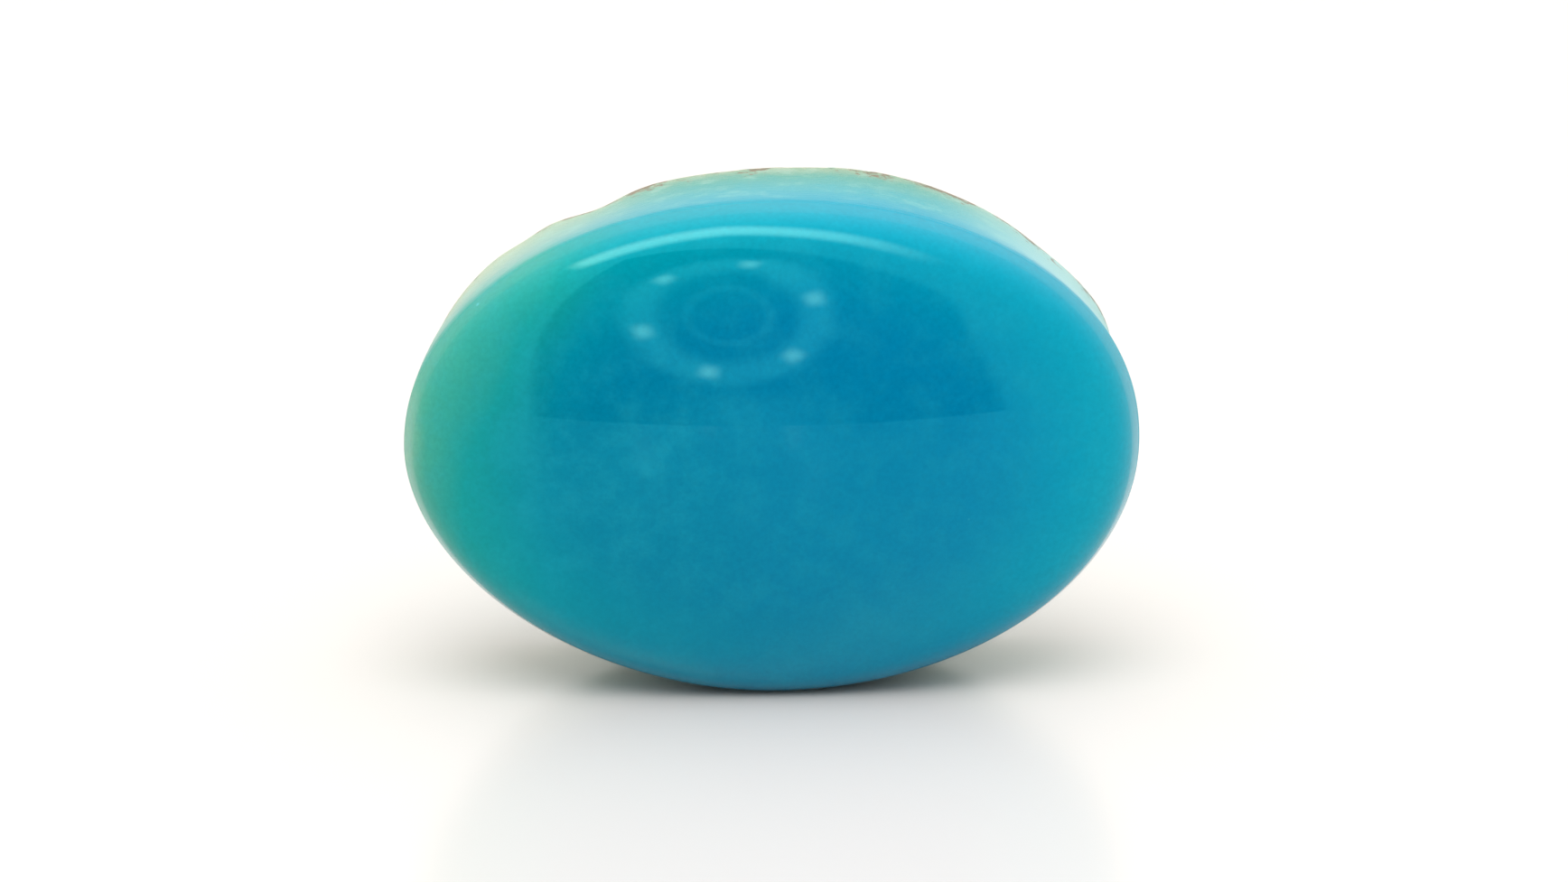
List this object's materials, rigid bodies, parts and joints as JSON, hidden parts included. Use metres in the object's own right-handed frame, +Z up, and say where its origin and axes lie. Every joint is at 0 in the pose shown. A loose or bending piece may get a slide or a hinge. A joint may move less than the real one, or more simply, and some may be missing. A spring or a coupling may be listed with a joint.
{
  "type": "polished turquoise cabochon with natural back",
  "caption": "Oval turquoise stone standing on its long edge: a polished domed face, a pale side wall and a rough natural back.",
  "frame": {"origin": "on the surface the stone stands on, below the middle of its bounding box", "axes": "+X along the stone's length, +Y from the polished face to the rough back, +Z up; the polished face looks along -Y"},
  "size_m": [0.02, 0.0082, 0.0136],
  "materials": {
    "turquoise": "polished, glossy on the domed face, waxy and paler on the side wall, matt tan-brown and cream matrix on the rough back"
  },
  "bodies": {
    "root": {"stone": "turquoise"}
  },
  "joints": []
}
